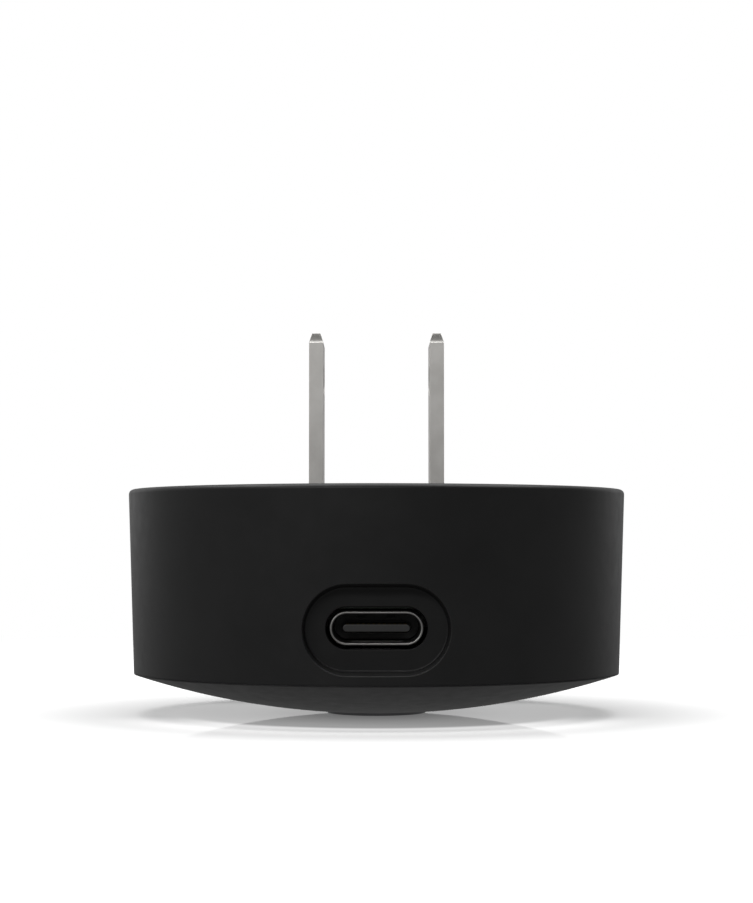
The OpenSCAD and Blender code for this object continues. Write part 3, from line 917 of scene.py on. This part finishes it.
def mixed_shader(tree, factor, first, second):
    """The first shader where the factor is 0, and the second where it is 1."""
    node = tree.nodes.new("ShaderNodeMixShader")
    tree.links.new(factor, node.inputs["Fac"])
    tree.links.new(first, node.inputs[1])
    tree.links.new(second, node.inputs[2])
    return node.outputs[0]


def build_floor():
    """White glossy table top.

    Its mirror image fades away from the object, and its painted glow fills the shadow as painted light.
    """
    corners = [(x * FLOOR_HALF, y * FLOOR_HALF, FLOOR_Z) for x, y in ((-1, -1), (1, -1), (1, 1), (-1, 1))]
    mesh = bpy.data.meshes.new("floor")
    mesh.from_pydata(corners, [], [(0, 1, 2, 3)])
    floor = add_object("floor", mesh)
    material = bpy.data.materials.new("floor_white")
    material.use_nodes = True
    tree = material.node_tree
    tree.nodes.clear()
    new, link = tree.nodes.new, tree.links.new
    place = new("ShaderNodeTexCoord").outputs["Object"]
    length = new("ShaderNodeVectorMath")
    length.operation = "LENGTH"
    link(place, length.inputs[0])
    distance = length.outputs["Value"]
    parts = new("ShaderNodeSeparateXYZ")
    link(place, parts.inputs[0])

    def spread(value, start, end, first, last):
        """A value that runs smoothly from first to last between two distances in millimetres."""
        node = new("ShaderNodeMapRange")
        node.interpolation_type = "SMOOTHSTEP"
        node.inputs["From Min"].default_value = start * MM
        node.inputs["From Max"].default_value = end * MM
        node.inputs["To Min"].default_value = first
        node.inputs["To Max"].default_value = last
        link(value, node.inputs["Value"])
        return node.outputs["Result"]

    def combined(operation, first, second):
        node = new("ShaderNodeMath")
        node.operation = operation
        link(first, node.inputs[0])
        link(second, node.inputs[1])
        return node.outputs[0]

    def glow(strength):
        node = new("ShaderNodeEmission")
        link(strength, node.inputs["Strength"])
        return node.outputs[0]

    # What the camera sees: a lit matt surface, its polish near the object, a painted glow that stands in
    # for light seeping under the dome and for light at the front edge of the shadow, and plain white far
    # away
    matt = new("ShaderNodeBsdfDiffuse")
    matt.inputs["Color"].default_value = (0.8, 0.8, 0.8, 1)
    mirror = new("ShaderNodeBsdfGlossy")
    mirror.inputs["Color"].default_value = (1, 1, 1, 1)
    mirror.inputs["Roughness"].default_value = 0.03
    polished = mixed_shader(tree, spread(distance, *MIRROR_FADE), matt.outputs[0], mirror.outputs[0])
    # Painted light on the floor: a glow under the dome and a lit band at the front edge of the shadow
    painted_seep_glow = combined("MULTIPLY", spread(distance, *SEEP_GLOW_IN), spread(distance, *SEEP_GLOW_OUT))
    painted_seep_glow = combined("MULTIPLY", painted_seep_glow, spread(parts.outputs["Y"], *SEEP_GLOW_SIDE))
    front = combined("MULTIPLY", spread(distance, *FRONT_GLOW_IN), spread(parts.outputs["Y"], *FRONT_GLOW_SIDE))
    front = combined("MULTIPLY", front, spread(distance, *FRONT_GLOW_OUT))
    near = new("ShaderNodeAddShader")
    link(polished, near.inputs[0])
    link(glow(combined("ADD", painted_seep_glow, front)), near.inputs[1])
    plain = new("ShaderNodeEmission")
    seen = mixed_shader(tree, spread(distance, *PLAIN_WHITE), near.outputs[0], plain.outputs[0])

    # What the object reflects and is lit by: a painted glow in place of the lit table top, dimmer near the
    # object as painted shade
    dim = glow(spread(distance, *REFLECTED_FLOOR_GLOW))
    ray = new("ShaderNodeLightPath")
    output = new("ShaderNodeOutputMaterial")
    link(mixed_shader(tree, ray.outputs["Is Camera Ray"], dim, seen), output.inputs["Surface"])
    paint(floor, material)


def grey_ramp(tree, value, stops):
    """A grey that follows the value between its (position, level) stops."""
    node = tree.nodes.new("ShaderNodeValToRGB")
    elements = node.color_ramp.elements
    while len(elements) < len(stops):
        elements.new(0.5)
    for element, (position, level) in zip(elements, stops):
        element.position = position
        element.color = (level, level, level, 1)
    tree.links.new(value, node.inputs["Fac"])
    return node.outputs["Color"]


def build_world():
    """White behind the object, and a dim grey studio for everything that the object reflects."""
    world = bpy.data.worlds.new("studio")
    bpy.context.scene.world = world
    world.use_nodes = True
    tree = world.node_tree
    tree.nodes.clear()
    new, link = tree.nodes.new, tree.links.new
    place = new("ShaderNodeTexCoord")
    axes = new("ShaderNodeSeparateXYZ")
    link(place.outputs["Generated"], axes.inputs[0])
    across = new("ShaderNodeMapRange")
    across.inputs["From Min"].default_value = -1
    across.inputs["From Max"].default_value = 1
    link(axes.outputs["X"], across.inputs["Value"])
    studio = grey_ramp(tree, across.outputs["Result"], STUDIO_ACROSS)
    behind = grey_ramp(tree, axes.outputs["Y"], WHITE_BEHIND)
    backdrop = new("ShaderNodeMix")
    backdrop.data_type = "RGBA"
    colour_sockets = [socket for socket in backdrop.inputs if socket.type == "RGBA"]
    colour_sockets[1].default_value = (1, 1, 1, 1)
    link(behind, backdrop.inputs["Factor"])
    link(studio, colour_sockets[0])
    colour = [socket for socket in backdrop.outputs if socket.type == "RGBA"][0]
    seen = new("ShaderNodeBackground")
    seen.inputs["Color"].default_value = (1, 1, 1, 1)
    lit = new("ShaderNodeBackground")
    link(colour, lit.inputs["Color"])
    ray = new("ShaderNodeLightPath")
    both = mixed_shader(tree, ray.outputs["Is Camera Ray"], lit.outputs[0], seen.outputs[0])
    output = new("ShaderNodeOutputWorld")
    link(both, output.inputs["Surface"])


def add_softbox(name, place, size, power):
    """A rectangular lamp that the camera doesn't see, turned towards the object."""
    light = bpy.data.lights.new(name, "AREA")
    light.shape = "RECTANGLE"
    light.size, light.size_y = size
    light.energy = power
    lamp = bpy.data.objects.new(name, light)
    lamp.location = place
    lamp.rotation_mode = "QUATERNION"
    lamp.rotation_quaternion = (Vector(SOFTBOX_AIM) - Vector(place)).to_track_quat("-Z", "Y")
    lamp.visible_camera = False
    bpy.context.scene.collection.objects.link(lamp)


def build_camera():
    """The photo's view of the object."""
    camera = bpy.data.cameras.new("camera")
    camera.lens = LENS_MM
    camera.sensor_width = SENSOR_MM
    camera.clip_start = 0.01
    eye = bpy.data.objects.new("camera", camera)
    eye.location = (0, -EYE_DISTANCE, EYE_Z)
    eye.rotation_euler = (math.radians(90 + PITCH_DEG), 0, 0)
    bpy.context.scene.collection.objects.link(eye)
    bpy.context.scene.camera = eye


build_camera()
dress_outside()
dress_inside()
build_floor()
build_world()
for name, (place, size, power) in SOFTBOXES.items():
    add_softbox(name, place, size, power)
bpy.context.scene.view_settings.view_transform = "Standard"
